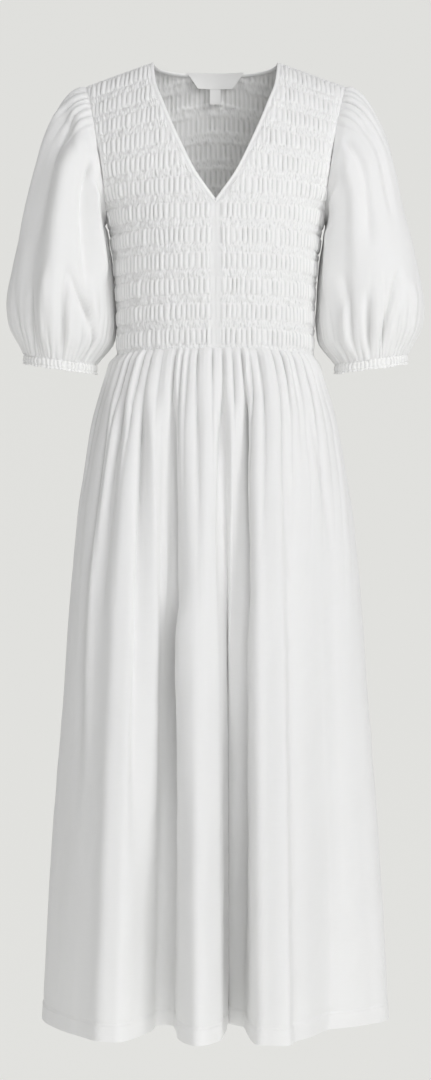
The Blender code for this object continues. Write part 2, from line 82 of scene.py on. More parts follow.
#          level  width   front   back    height   droop
TORSO = np.array([
    (0.0,  0.1200, 0.0880, 0.0860, -0.3470, 0.0045),
    (2.0,  0.1212, 0.0960, 0.0920, -0.2870, 0.0040),
    (4.0,  0.1255, 0.1030, 0.0970, -0.2265, 0.0035),
    (5.5,  0.1318, 0.1015, 0.0990, -0.1810, 0.0030),
    (6.0,  0.1375, 0.1000, 0.0990, -0.1660, 0.0030),
    (7.0,  0.1505, 0.0970, 0.0990, -0.1315, 0.0030),
    (8.0,  0.1630, 0.0950, 0.0990, -0.0970, 0.0030),
    (10.0, 0.1720, 0.0880, 0.0980, -0.0270, 0.0030),
    (12.0, 0.1780, 0.0800, 0.0950, 0.0430, 0.0030),
])
#                   level  half width at the armhole seam
ARMHOLE = np.array([(5.5, 0.1318), (5.75, 0.1331), (6.0, 0.1342), (6.5, 0.1356), (7.0, 0.1367),
                    (8.0, 0.1400), (9.5, 0.1470), (11.0, 0.1550), (12.0, 0.1610)])
#                      level  half width of the neck opening
FRONT_NECK = np.array([(5.75, 0.0), (6.0, 0.0062), (7.0, 0.0287), (8.0, 0.0440),
                       (9.0, 0.0570), (10.0, 0.0680), (11.0, 0.0775), (12.0, NECK_HALF)])
BACK_NECK = np.array([(11.02, 0.0), (11.17, 0.018), (11.34, 0.038), (11.6, 0.060),
                      (11.8, 0.0725), (12.0, NECK_HALF)])


def smooth_step(value):
    value = np.clip(value, 0.0, 1.0)
    return value * value * (3.0 - 2.0 * value)


def curve_at(place, places, values):
    """Smooth curve through the values, which never swings past them."""
    steps = np.diff(places)
    slopes = np.diff(values) / steps
    tangents = np.concatenate([slopes[:1], np.zeros(len(slopes) - 1), slopes[-1:]])
    rising = slopes[:-1] * slopes[1:] > 0
    total = np.where(rising, slopes[:-1] + slopes[1:], 1.0)
    tangents[1:-1] = np.where(rising, 2.0 * slopes[:-1] * slopes[1:] / total, 0.0)
    place = np.clip(place, places[0], places[-1])
    index = np.clip(np.searchsorted(places, place, side="right") - 1, 0, len(steps) - 1)
    step = steps[index]
    t = (place - places[index]) / step
    return (values[index] * (1 + 2 * t) * (1 - t) ** 2 + tangents[index] * step * t * (1 - t) ** 2
            + values[index + 1] * t * t * (3 - 2 * t)
            + tangents[index + 1] * step * t * t * (t - 1))


def unevenness(across, along, seed, cells_round=64):
    """Soft uneven values from -1 to 1, one lattice cell for each whole step."""
    lattice = np.random.default_rng(seed).uniform(-1, 1, (64, 64))
    i, j = np.floor(across).astype(int), np.floor(along).astype(int)
    a, b = smooth_step(across - i), smooth_step(along - j)
    i, k = i % cells_round, (i + 1) % cells_round
    j, m = j % 64, (j + 1) % 64
    return ((lattice[i, j] * (1 - a) + lattice[k, j] * a) * (1 - b)
            + (lattice[i, m] * (1 - a) + lattice[k, m] * a) * b)


def own_size(index, seed, low, high):
    """A size of its own for each numbered pleat or gather."""
    sizes = np.random.default_rng(seed).uniform(low, high, 512)
    return sizes[np.asarray(index).astype(int) % 512]


def rounded_section(angle, width, depth):
    across = (np.abs(np.sin(angle)) / width) ** SQUARENESS
    along = (np.abs(np.cos(angle)) / depth) ** SQUARENESS
    radius = (across + along) ** (-1.0 / SQUARENESS)
    return radius * np.sin(angle), radius * np.cos(angle)


ANGLES = np.linspace(0.0, math.pi / 2, 91)
bust_x, bust_y = rounded_section(ANGLES, TORSO[2, 1], TORSO[2, 2])
GRAIN = np.concatenate([[0.0], np.cumsum(np.hypot(np.diff(bust_x), np.diff(bust_y)))])
GRAIN /= GRAIN[-1]


def shoulder_height(x):
    """Height of the shoulder line, which runs on over the neck in a soft curve."""
    return NECK_HEIGHT - SHOULDER_SLOPE * (np.hypot(x, SHOULDER_BLEND) - NECK_HALF)


def torso_height(level, x):
    side = (x / 0.13) ** 2
    below = curve_at(level, TORSO[:, 0], TORSO[:, 4]) - side * curve_at(
        level, TORSO[:, 0], TORSO[:, 5])
    chest = TORSO[4, 4] - side * TORSO[4, 5]
    shoulder = shoulder_height(x)
    share = (level - CHEST_LEVEL) / (SHOULDER_LEVEL - CHEST_LEVEL)
    return np.where(level <= CHEST_LEVEL, below, chest + share * (shoulder - chest))


def torso_surface(grain, level, back):
    """Plain bodice: grain 0 is the centre line and 1 the side; levels are smocked bands."""
    grain, level = np.broadcast_arrays(np.asarray(grain, float), np.asarray(level, float))
    angle = np.sign(grain) * np.interp(np.abs(grain), GRAIN, ANGLES)
    width = curve_at(level, TORSO[:, 0], TORSO[:, 1])
    depth = curve_at(level, TORSO[:, 0], TORSO[:, 3 if back else 2])
    x, y = rounded_section(angle, width, depth)
    z = torso_height(level, x)
    shoulder = shoulder_height(x)
    climb = np.clip((z - ROUNDING_START) / (shoulder - ROUNDING_START), 0.0, 1.0)
    power = BACK_ROUNDING if back else FRONT_ROUNDING
    y = y * (1.0 - climb ** power) ** (1.0 / power)
    return np.stack([x, y if back else -y, z], -1)


RUN_GRAINS = np.linspace(0.0, 1.0, 81)
RUN_LEVELS = np.linspace(0.0, SHOULDER_LEVEL, 49)


def run_table(back):
    """Run of the cloth from the centre line outwards, for each level and grain."""
    points = torso_surface(RUN_GRAINS[None, :], RUN_LEVELS[:, None], back)
    steps = np.linalg.norm(np.diff(points, axis=1), axis=2)
    return np.concatenate([np.zeros((len(RUN_LEVELS), 1)), np.cumsum(steps, axis=1)], 1)


RUN_TABLES = (run_table(False), run_table(True))


def runs_at(level, back):
    """Run of the cloth at each of RUN_GRAINS, in metres from the centre line."""
    row = min(max(level / SHOULDER_LEVEL, 0.0), 1.0) * (len(RUN_LEVELS) - 1)
    i = min(int(row), len(RUN_LEVELS) - 2)
    return RUN_TABLES[int(back)][i] * (1 - row + i) + RUN_TABLES[int(back)][i + 1] * (row - i)


def spread_columns(even, first, last, widest):
    """Runs of a row's columns: the same on every row, but squeezed where an edge cuts in."""
    wide = even * widest
    near, far = first + EDGE_ZONE, last - EDGE_ZONE
    low = first + EDGE_ZONE * wide / near
    high = last - EDGE_ZONE * (widest - wide) / (widest - far)
    return np.where(wide < near, low, np.where(wide > far, high, wide))


def grain_at(x, level, back):
    samples = np.linspace(0.0, 1.0, 161)
    return float(np.interp(x, torso_surface(samples, level, back)[:, 0], samples))


def armhole_grain(level, back):
    if level <= UNDERARM_LEVEL:
        return 1.0
    return grain_at(curve_at(level, ARMHOLE[:, 0], ARMHOLE[:, 1]), level, back)


def neck_grain(level, back):
    table = BACK_NECK if back else FRONT_NECK
    if level <= table[0, 0]:
        return 0.0
    return grain_at(curve_at(level, table[:, 0], table[:, 1]), level, back)


def cloth_normals(grid, closed=False):
    """Outward normals of a grid of points, whose columns run left to right seen from outside
    where its rows run up, or right to left where they run down."""
    if closed:
        wide = np.concatenate([grid[:, -1:], grid, grid[:, :1]], 1)
        across = np.gradient(wide, axis=1)[:, 1:-1]
    else:
        across = np.gradient(grid, axis=1)
    normals = np.cross(across, np.gradient(grid, axis=0))
    return normals / np.maximum(np.linalg.norm(normals, axis=2, keepdims=True), 1e-12)


def band_step(level):
    """Level as a soft staircase: constant over a band's pleats, changing where it is pinched."""
    above = level - 0.5
    base = np.floor(above)
    return base + smooth_step((above - base - 0.3) / 0.4)


def smocking(run, level, seed):
    """Height of the pleats, puckers and stitched rows over the plain cloth."""
    band = np.floor(level)
    number = run / PLEAT_PITCH + 0.30 * unevenness(run / 0.017, band_step(level), seed)
    number = number + 0.08 * unevenness(run / 0.008, level * 2.3, seed + 1)
    pleat = np.floor(number)
    ridge = np.abs(np.sin(math.pi * number)) ** PLEAT_ROUNDNESS
    size = own_size(pleat * 7 + band * 31, seed + 2, 0.60, 1.10)
    from_row = np.abs(level - band - 0.5) * 2.0
    reach = own_size(pleat * 3 + band * 17, seed + 3, 0.30, 0.50)
    stand = 1.0 - smooth_step((from_row - reach) / 0.34)
    fine = np.abs(np.sin(2.0 * math.pi * number + 2.0 * unevenness(number, level * 5, seed + 5)))
    pucker = PUCKER_HEIGHT * (unevenness(number * 2.3, level * 11.0, seed + 4) + 1.1 * fine)
    zone = ZONE_BULGE * smooth_step((from_row - 0.74) / 0.2)
    row = STITCH_GROOVE * np.exp(-((from_row - STITCH_ROW) / 0.06) ** 2)
    return PLEAT_HEIGHT * ridge * size * stand + (pucker + zone) * (1.0 - stand) - row


def valley_shade_mask(lift, reach, depth, closed=False):
    """How deep each point lies below the cloth beside it, 0 on the ridges and 1 in a valley: the
    mask by which shade is painted into the cloth's colour.
    """
    if closed:
        wide = np.concatenate([lift[:, -reach:], lift, lift[:, :reach]], 1)
    else:
        wide = np.pad(lift, ((0, 0), (reach, reach)), mode="edge")
    near = np.mean([wide[:, start:start + lift.shape[1]] for start in range(2 * reach + 1)], 0)
    return np.clip((near - lift) / depth, 0.0, 1.0)


def turned_edge(grid, shift):
    """The sheet with its first row turned in behind its neighbour, so that no slit shows."""
    inward = -cloth_normals(grid)[:1] * SEAM_ALLOWANCE
    return np.concatenate([grid[:1] + inward + np.array(shift) * SEAM_ALLOWANCE, grid], 0)


def cloth_sheet(name, grid, across, along, closed=False, valley=None):
    """Mesh of a grid of points, with its cloth's run and fall in metres as its UV map."""
    rows, columns = grid.shape[:2]
    mesh = bpy.data.meshes.new(name)
    i, j = np.meshgrid(np.arange(rows - 1), np.arange(columns if closed else columns - 1),
                       indexing="ij")
    i, j = i.ravel(), j.ravel()
    k = (j + 1) % columns
    faces = np.stack([i * columns + j, i * columns + k, (i + 1) * columns + k,
                      (i + 1) * columns + j], 1)
    mesh.from_pydata(grid.reshape(-1, 3).tolist(), [], faces.tolist())
    run = np.stack([j, j + 1, j + 1, j], 1) / (columns if closed else columns - 1) * across
    fall = np.stack([i, i, i + 1, i + 1], 1) / (rows - 1) * along
    layer = mesh.uv_layers.new(name="Cloth")
    layer.data.foreach_set("uv", np.stack([run, fall], -1).ravel())
    # painted shade: a per-point mask that darkens the colour in the valleys between pleats and
    # gathers
    if valley is not None:
        shade = mesh.attributes.new("PaintedValleyShade", "FLOAT", "POINT")
        shade.data.foreach_set("value", valley.ravel().astype(np.float32))
    mesh.shade_smooth()
    piece = bpy.data.objects.new(name, mesh)
    bpy.context.scene.collection.objects.link(piece)
    return piece


def apply_to(piece, modifier):
    """Apply a modifier with its piece alone selected."""
    bpy.ops.object.select_all(action="DESELECT")
    bpy.context.view_layer.objects.active = piece
    piece.select_set(True)
    bpy.ops.object.modifier_apply(modifier=modifier.name)


def give_wall(piece, thickness):
    """Turn a sheet into a thin wall, inwards."""
    wall = piece.modifiers.new("Wall", "SOLIDIFY")
    wall.thickness = thickness
    wall.offset = -1.0
    apply_to(piece, wall)
    bpy.ops.object.shade_smooth_by_angle(angle=RIM_ANGLE)


def group_socket(group, name, direction, kind="NodeSocketFloat", value=None):
    socket = group.interface.new_socket(name=name, in_out=direction, socket_type=kind)
    if value is not None:
        socket.default_value = value


def make_plain_weave():
    """Node group: fine plain weave with slubs, and the slight greying of uneven yarn."""
    group = bpy.data.node_groups.new("plain_weave", "ShaderNodeTree")
    group_socket(group, "Cloth", "INPUT", "NodeSocketVector")
    group_socket(group, "Thread", "INPUT", value=0.0009)
    group_socket(group, "Slub", "INPUT", value=0.5)
    group_socket(group, "Height", "OUTPUT")
    group_socket(group, "Tone", "OUTPUT")
    nodes, links = group.nodes, group.links
    start, end = nodes.new("NodeGroupInput"), nodes.new("NodeGroupOutput")
    scale = nodes.new("ShaderNodeMath")
    scale.operation = "DIVIDE"
    scale.inputs[0].default_value = math.pi / 10.0
    links.new(start.outputs["Thread"], scale.inputs[1])
    waves = []
    for direction in ("X", "Y"):
        wave = nodes.new("ShaderNodeTexWave")
        wave.bands_direction = direction
        wave.inputs["Distortion"].default_value = 1.2
        wave.inputs["Detail"].default_value = 1.0
        links.new(start.outputs["Cloth"], wave.inputs["Vector"])
        links.new(scale.outputs[0], wave.inputs["Scale"])
        waves.append(wave)
    weave = nodes.new("ShaderNodeMath")
    weave.operation = "MULTIPLY"
    links.new(waves[0].outputs["Fac"], weave.inputs[0])
    links.new(waves[1].outputs["Fac"], weave.inputs[1])
    stretch = nodes.new("ShaderNodeVectorMath")
    stretch.operation = "MULTIPLY"
    stretch.inputs[1].default_value = (60.0, 900.0, 1.0)
    links.new(start.outputs["Cloth"], stretch.inputs[0])
    yarn = nodes.new("ShaderNodeTexNoise")
    yarn.inputs["Scale"].default_value = 1.0
    yarn.inputs["Detail"].default_value = 3.0
    links.new(stretch.outputs[0], yarn.inputs["Vector"])
    slub = nodes.new("ShaderNodeMath")
    slub.operation = "MULTIPLY"
    links.new(yarn.outputs["Fac"], slub.inputs[0])
    links.new(start.outputs["Slub"], slub.inputs[1])
    height = nodes.new("ShaderNodeMath")
    height.operation = "MULTIPLY_ADD"
    height.inputs[1].default_value = 0.5
    links.new(weave.outputs[0], height.inputs[0])
    links.new(slub.outputs[0], height.inputs[2])
    links.new(height.outputs[0], end.inputs["Height"])
    links.new(yarn.outputs["Fac"], end.inputs["Tone"])
    return group


PLAIN_WEAVE = make_plain_weave()


def two_tones(nodes, links, factor, dark, light):
    """Node that mixes two tones by a pattern, for a material's colour."""
    tone = nodes.new("ShaderNodeMix")
    tone.data_type = "RGBA"
    tone.inputs["A"].default_value = (*dark, 1.0)
    tone.inputs["B"].default_value = (*light, 1.0)
    links.new(factor, tone.inputs["Factor"])
    return tone.outputs["Result"]


def cotton_cloth(name, slub, bump, white=WHITE):
    """White plain-weave cotton; slub and bump set how strongly its yarn shows. Its colour has
    shade painted into the valleys between pleats and gathers.
    """
    cloth = bpy.data.materials.new(name)
    cloth.use_nodes = True
    nodes, links = cloth.node_tree.nodes, cloth.node_tree.links
    shader = nodes["Principled BSDF"]
    shader.inputs["Roughness"].default_value = 0.92
    shader.inputs["Specular IOR Level"].default_value = 0.25
    shader.inputs["Sheen Weight"].default_value = 0.12
    shader.inputs["Sheen Roughness"].default_value = 0.5
    shader.inputs["Subsurface Weight"].default_value = 0.5
    shader.inputs["Subsurface Radius"].default_value = (1.0, 1.0, 0.95)
    shader.inputs["Subsurface Scale"].default_value = 0.003
    place = nodes.new("ShaderNodeUVMap")
    place.uv_map = "Cloth"
    weave = nodes.new("ShaderNodeGroup")
    weave.node_tree = PLAIN_WEAVE
    weave.inputs["Slub"].default_value = slub
    links.new(place.outputs["UV"], weave.inputs["Cloth"])
    tone = two_tones(nodes, links, weave.outputs["Tone"], [0.97 * part for part in white], white)
    # painted shade: the colour is darkened by the per-point valley mask, standing in for the
    # shade deep between pleats and gathers
    valley = nodes.new("ShaderNodeAttribute")
    valley.attribute_name = "PaintedValleyShade"
    shade = nodes.new("ShaderNodeMix")
    shade.data_type = "RGBA"
    shade.blend_type = "MULTIPLY"
    shade.inputs["B"].default_value = (VALLEY_SHADE_TONE, VALLEY_SHADE_TONE, VALLEY_SHADE_TONE, 1.0)
    links.new(valley.outputs["Fac"], shade.inputs["Factor"])
    links.new(tone, shade.inputs["A"])
    links.new(shade.outputs["Result"], shader.inputs["Base Color"])
    relief = nodes.new("ShaderNodeBump")
    relief.inputs["Strength"].default_value = bump
    relief.inputs["Distance"].default_value = 0.0002
    links.new(weave.outputs["Height"], relief.inputs["Height"])
    links.new(relief.outputs["Normal"], shader.inputs["Normal"])
    return cloth


BODICE_COTTON = cotton_cloth("bodice_cotton", slub=0.4, bump=0.25)


def seam_fade(distance, reach):
    """How much of the smocking is left at a distance from a sewn edge."""
    return smooth_step(distance / reach)


def seam_tuck(distance):
    """Depth to which an edge turns in where it is sewn."""
    return SEAM_TUCK * (1.0 - smooth_step(distance / 0.002))


def bodice_front():
    """Right front as a grid: rows go up from the waist, columns out from the centre."""
    measures = [runs_at(level, False) for level in LEVELS]
    ends = [np.interp((neck_grain(level, False), armhole_grain(level, False)), RUN_GRAINS, runs)
            for level, runs in zip(LEVELS, measures)]
    even, widest = np.linspace(0.0, 1.0, FRONT_COLUMNS), max(last for first, last in ends)
    run = np.array([spread_columns(even, first, last, widest) for first, last in ends])
    grain = np.array([np.interp(row, runs, RUN_GRAINS) for row, runs in zip(run, measures)])
    level = np.broadcast_to(LEVELS[:, None], grain.shape)
    plain = torso_surface(grain, level, False)
    to_neck, to_side = run - run[:, :1], run[:, -1:] - run
    to_waist = level * WAIST_BAND
    to_shoulder = (SHOULDER_LEVEL - level) * SHOULDER_BAND
    under_v = level < FRONT_NECK[0, 0]
    keep = np.where(under_v, 0.12 + 0.88 * seam_fade(to_neck - 0.004, 0.005),
                    0.35 + 0.65 * seam_fade(to_neck, 0.004))
    keep = keep * (0.35 + 0.65 * seam_fade(to_side, 0.006))
    keep = keep * (0.6 + 0.4 * seam_fade(to_waist, 0.003)) * (
        0.35 + 0.65 * seam_fade(to_shoulder, 0.006))
    tuck = seam_tuck(to_side) + 0.5 * seam_tuck(to_waist) + seam_tuck(to_shoulder)
    tuck = tuck + np.where(under_v, 0.4 * seam_tuck(to_neck), 0.0)
    return plain, keep, tuck, run, level


plain, keep, tuck, run, level = bodice_front()
normals = cloth_normals(plain)
for name, side, seed in (("right", 1.0, 11), ("left", -1.0, 47)):
    lift = smocking(run, level, seed) * keep - tuck
    grid = plain + normals * lift[..., None]
    # painted shade: mask that darkens the colour in the valleys between the pleats
    valley = valley_shade_mask(lift, SMOCK_REACH, SMOCK_DEEP)
    if side < 0:
        grid, valley = grid[:, ::-1] * (-1.0, 1.0, 1.0), valley[:, ::-1]
    front = cloth_sheet("smocked_front_" + name, grid, 0.32, 0.40, valley=valley)
    give_wall(front, COTTON_WALL)
    front.data.materials.append(BODICE_COTTON)
    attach(front, "root")
    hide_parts("bodice_front_" + name)


def bodice_back():
    """Back as a grid from the wearer's right side to the left, whose top follows the neck."""
    across = np.linspace(1.0, -1.0, BACK_COLUMNS)
    rise = LEVELS[:, None] / SHOULDER_LEVEL
    sample = np.linspace(0.0, SHOULDER_LEVEL, 240)
    edge = np.array([np.interp(armhole_grain(value, True), RUN_GRAINS, runs_at(value, True))
                     for value in sample])
    neck_levels = np.linspace(BACK_NECK[0, 0], SHOULDER_LEVEL, 60)
    neck_grains = np.array([neck_grain(level, True) for level in neck_levels])
    top = np.full(BACK_COLUMNS, SHOULDER_LEVEL)
    for _ in range(3):
        top_run = spread_columns(np.abs(across), 0.0, np.interp(top, sample, edge), edge.max())
        top_grain = [np.interp(run, runs_at(level, True), RUN_GRAINS)
                     for run, level in zip(top_run, top)]
        top = np.interp(top_grain, neck_grains, neck_levels)
    level = SHOULDER_LEVEL * rise - (SHOULDER_LEVEL - top) * smooth_step((rise - 0.55) / 0.45)
    last = np.interp(level, sample, edge)
    run = spread_columns(np.abs(across)[None, :], 0.0, last, edge.max())
    grain = np.array([[np.interp(run[i, j], runs_at(level[i, j], True), RUN_GRAINS)
                       for j in range(run.shape[1])] for i in range(run.shape[0])])
    grain, run = np.sign(across) * grain, np.sign(across) * run
    plain = torso_surface(grain, level, True)
    to_side = last - np.abs(run)
    to_top = (top - level) * SHOULDER_BAND
    keep = (0.25 + 0.75 * seam_fade(to_side, 0.006)) * (0.4 + 0.6 * seam_fade(level, 0.13))
    keep = keep * (0.4 + 0.6 * seam_fade(to_top, 0.006))
    tuck = seam_tuck(to_side) + seam_tuck(level * WAIST_BAND)
    tuck = tuck + seam_tuck(to_top) * np.where(top < SHOULDER_LEVEL - 0.01, 0.0, 1.0)
    return plain, smocking(run, level, 83) * keep - tuck


plain, lift = bodice_back()
# painted shade: mask that darkens the colour in the valleys between the pleats
back = cloth_sheet("smocked_back", plain + cloth_normals(plain) * lift[..., None], 0.62, 0.42,
                   valley=valley_shade_mask(lift, SMOCK_REACH, SMOCK_DEEP))
give_wall(back, COTTON_WALL)
back.data.materials.append(BODICE_COTTON)
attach(back, "root")
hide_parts("bodice_back")

# Neck binding: a narrow strip of the same cotton, folded over the raw neck edge and sewn down
# all round, mitred at the point of the V.
BINDING_WIDTH = 0.0056
BINDING_LAP = 0.0012      # how far it laps over the smocked cloth
BINDING_WALL = 0.0026
BINDING_SIDES = 12
STITCH_STAND = 0.0001     # by which a stitch's middle stands over the cloth
STITCH_SIDE = 0.0005      # distance along the seam over which its direction is taken


def neck_line():
    """Middle of the wall along the neck edge, and its normals."""
    front = np.linspace(FRONT_NECK[0, 0], SHOULDER_LEVEL - 0.02, 90)
    rear = np.linspace(SHOULDER_LEVEL - 0.02, BACK_NECK[0, 0], 50)
    half, facing = [], []
    for levels, is_back in ((front, False), (rear, True)):
        for level in levels:
            grain = neck_grain(level, is_back)
            near = torso_surface(np.array([grain, grain + 0.01, grain]),
                                 np.array([level, level, level - 0.01]), is_back)
            normal = np.cross(near[1] - near[0], near[0] - near[2])
            normal *= (-1.0 if is_back else 1.0) / np.linalg.norm(normal)
            if grain == 0.0:
                normal[0] = 0.0
            half.append(near[0])
            facing.append(normal)
    line = np.array(half + [point * (-1, 1, 1) for point in half[-2:0:-1]])
    facing = np.array(facing + [normal * (-1, 1, 1) for normal in facing[-2:0:-1]])
    for _ in range(3):
        facing = (np.roll(facing, 1, 0) + 2 * facing + np.roll(facing, -1, 0)) / 4.0
    facing /= np.linalg.norm(facing, axis=1, keepdims=True)
    return line - 0.5 * BODICE_WALL * facing, facing


def stitch_row(name, line, facing, pitch, length, thread):
    """Row of separate stitches along a line on the cloth, each a short raised thread."""
    run = np.concatenate([[0.0], np.cumsum(np.linalg.norm(np.diff(line, axis=0), axis=1))])
    places = np.arange(0.5 * pitch, run[-1], pitch)
    before, middle, after = (
        np.stack([np.interp(places + step, run, line[:, axis]) for axis in range(3)], -1)
        for step in (-STITCH_SIDE, 0.0, STITCH_SIDE))
    out = np.stack([np.interp(places, run, facing[:, axis]) for axis in range(3)], -1)
    out /= np.linalg.norm(out, axis=1, keepdims=True)
    ahead = (after - before) / np.linalg.norm(after - before, axis=1, keepdims=True)
    aside = np.cross(out, ahead)
    middle = middle + out * STITCH_STAND
    corners = np.stack([middle + ahead * 0.5 * length, middle + aside * 0.5 * thread,
                        middle - ahead * 0.5 * length, middle - aside * 0.5 * thread,
                        middle + out * thread, middle - out * 0.5 * thread], 1)
    sides = [(0, 1, 4), (1, 2, 4), (2, 3, 4), (3, 0, 4),
             (1, 0, 5), (2, 1, 5), (3, 2, 5), (0, 3, 5)]
    faces = [tuple(6 * stitch + corner for corner in side)
             for stitch in range(len(places)) for side in sides]
    mesh = bpy.data.meshes.new(name)
    mesh.from_pydata(corners.reshape(-1, 3).tolist(), [], faces)
    mesh.shade_smooth()
    row = bpy.data.objects.new(name, mesh)
    bpy.context.scene.collection.objects.link(row)
    row.data.materials.append(SEWING_THREAD)
    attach(row, "root")


def sewing_thread():
    """White spun thread, a little brighter than the cloth, with its twist as fine bands."""
    thread = bpy.data.materials.new("sewing_thread")
    thread.use_nodes = True
    nodes, links = thread.node_tree.nodes, thread.node_tree.links
    shader = nodes["Principled BSDF"]
    shader.inputs["Roughness"].default_value = 0.6
    shader.inputs["Sheen Weight"].default_value = 0.2
    place = nodes.new("ShaderNodeTexCoord")
    twist = nodes.new("ShaderNodeTexWave")
    twist.bands_direction = "DIAGONAL"
    twist.inputs["Scale"].default_value = 900.0
    links.new(place.outputs["Object"], twist.inputs["Vector"])
    tone = two_tones(nodes, links, twist.outputs["Fac"], (0.84, 0.84, 0.83), (0.95, 0.95, 0.94))
    links.new(tone, shader.inputs["Base Color"])
    return thread


SEWING_THREAD = sewing_thread()


line, facing = neck_line()
after = np.roll(line, -1, 0) - line
after /= np.linalg.norm(after, axis=1, keepdims=True)
tangent = after + np.roll(after, 1, 0)
tangent /= np.linalg.norm(tangent, axis=1, keepdims=True)
inward = np.cross(facing, tangent)
inward /= np.linalg.norm(inward, axis=1, keepdims=True)
mitre = 1.0 / np.maximum(np.sum(tangent * after, 1), 0.45)
turn = np.linspace(0.0, 2 * math.pi, BINDING_SIDES, endpoint=False)
station = np.arange(len(line))[:, None]
pinch = 1.0 + 0.10 * unevenness(station * 0.45, turn[None, :] * 0.6, 5)
reach = 0.5 * BINDING_WIDTH * (1.0 + np.cos(turn))[None, :] - BINDING_LAP
height = 0.5 * BINDING_WALL * np.sin(turn)[None, :] * pinch
grid = (line[:, None] + inward[:, None] * (reach * mitre[:, None])[..., None]
        + facing[:, None] * height[..., None])
binding = cloth_sheet("neck_binding_strip", np.concatenate([grid, grid[:1]], 0), 0.012, 0.60,
                      closed=True)
weld = binding.modifiers.new("Join", "WELD")
weld.merge_threshold = 0.00001
apply_to(binding, weld)
bpy.ops.object.mode_set(mode="EDIT")
bpy.ops.mesh.select_all(action="SELECT")
bpy.ops.mesh.normals_make_consistent(inside=False)
bpy.ops.object.mode_set(mode="OBJECT")
binding.data.materials.append(cotton_cloth("binding_cotton", slub=0.3, bump=0.2))
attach(binding, "root")
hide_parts("neck_binding")
stitched = line + inward * 0.0003 + facing * 0.5 * BINDING_WALL
stitch_row("neck_stitches", np.concatenate([stitched, stitched[:1]]),
           np.concatenate([facing, facing[:1]]), pitch=0.0032, length=0.0022, thread=0.00045)

# Skirt: front and back panels of the same cotton, gathered evenly into the waist seam. The
# gathers run together into a few deep folds; the hem is turned up 20 mm and stitched.
SKIRT_LENGTH = 0.8205
SKIRT_COLUMNS = 300
SKIRT_ROWS = 109
HEM_TURN = 0.020
HEM_ROWS = np.array([0.0250, 0.0222, 0.0208, 0.0198, 0.0182, 0.0090, 0.0])   # above the hem
HEM_STEP = 0.0006
GATHERS = 29
GATHER_HEIGHT = 0.0088
SMALL_GATHERS = 61
SMALL_GATHER_HEIGHT = 0.0018
# GATHER_REACH and GATHER_DEEP set the valley mask of the painted shade in gathers
GATHER_REACH = 4
GATHER_DEEP = 0.0040
#         drop   width   front   back
SKIRT = np.array([
    (0.000, 0.1200, 0.0880, 0.0860),
    (0.038, 0.1315, 0.0970, 0.0960),
    (0.091, 0.1465, 0.1040, 0.1040),
    (0.157, 0.1580, 0.1090, 0.1100),
    (0.240, 0.1700, 0.1130, 0.1140),
    (0.387, 0.1820, 0.1170, 0.1180),
    (0.520, 0.1890, 0.1200, 0.1210),
    (0.640, 0.1970, 0.1220, 0.1230),
    (0.776, 0.2045, 0.1235, 0.1240),
    (1.000, 0.2142, 0.1250, 0.1250),
])
#                waist_x  hem_x   depth   opens
FRONT_FOLDS = np.array([
    (-0.1200, -0.2142,  0.000, 0.00),
    (-0.0860, -0.1190,  0.060, 0.02),
    (-0.0520, -0.0550, -0.050, 0.00),
    (-0.0230, -0.0210,  0.068, 0.00),
    (-0.0050,  0.0045,  0.034, 0.00),
    (0.0110,   0.0145, -0.084, 0.00),
    (0.0350,   0.0390, -0.054, 0.00),
    (0.0480,   0.0550,  0.064, 0.00),
    (0.0700,   0.0820,  0.073, 0.00),
    (0.0940,   0.1400, -0.016, 0.05),
    (0.1060,   0.1880, -0.016, 0.10),
    (0.1200,   0.2142,  0.000, 0.00),
])
BACK_FOLDS = np.array([
    (-0.1200, -0.2142,  0.000, 0.00),
    (-0.0940, -0.1500, -0.016, 0.05),
    (-0.0700, -0.0960,  0.058, 0.00),
    (-0.0400, -0.0420, -0.052, 0.00),
    (-0.0080,  0.0060,  0.056, 0.03),
    (0.0260,   0.0440, -0.040, 0.06),
    (0.0560,   0.0850,  0.060, 0.00),
    (0.0850,   0.1330, -0.020, 0.04),
    (0.1050,   0.1780,  0.014, 0.10),
    (0.1200,   0.2142,  0.000, 0.00),
])
# Soft ridges and troughs (a height below 0): x near the waist, at two fifths of the drop and
# at the hem, the drops between which each shows, half width and height.
#    waist_x   mid_x    hem_x   from   to   half_w  height
FRONT_SOFT_FOLDS = [
    (-0.127, -0.160, -0.175, 0.04, 0.50, 0.0090, -0.0050),
    (-0.117, -0.150, -0.166, 0.04, 0.42, 0.0060, 0.0060),
    (-0.109, -0.137, -0.152, 0.03, 0.20, 0.0065, -0.0070),
    (-0.100, -0.119, -0.136, 0.10, 1.30, 0.0110, 0.0060),
    (-0.088, -0.092, -0.098, 0.03, 0.55, 0.0060, -0.0085),
    (-0.074, -0.077, -0.080, 0.05, 0.60, 0.0080, 0.0085),
    (-0.060, -0.060, -0.060, 0.20, 0.55, 0.0060, 0.0050),
    (-0.054, -0.054, -0.062, 0.33, 1.30, 0.0090, -0.0120),
    (-0.0505, -0.0505, -0.050, 0.02, 0.50, 0.0045, -0.0100),
    (-0.034, -0.034, -0.034, 0.33, 1.30, 0.0090, 0.0090),
    (-0.036, -0.034, -0.032, 0.04, 0.45, 0.0070, 0.0055),
    (-0.020, -0.022, -0.024, 0.03, 0.22, 0.0050, -0.0035),
    (0.008, 0.007, 0.008, 0.04, 0.25, 0.0045, -0.0050),
    (0.023, 0.022, 0.022, 0.04, 0.36, 0.0085, 0.0120),
    (0.026, 0.027, 0.028, 0.35, 1.30, 0.0160, 0.0090),
    (0.039, 0.038, 0.038, 0.02, 0.75, 0.0045, -0.0070),
    (0.050, 0.050, 0.050, 0.03, 1.30, 0.0070, 0.0060),
    (0.082, 0.093, 0.100, 0.04, 0.95, 0.0085, -0.0085),
    (0.107, 0.150, 0.160, 0.01, 0.12, 0.0045, -0.0035),
    (0.100, 0.116, 0.130, 0.10, 0.80, 0.0160, 0.0040),
    (0.130, 0.142, 0.155, 0.15, 0.70, 0.0100, -0.0030),
]
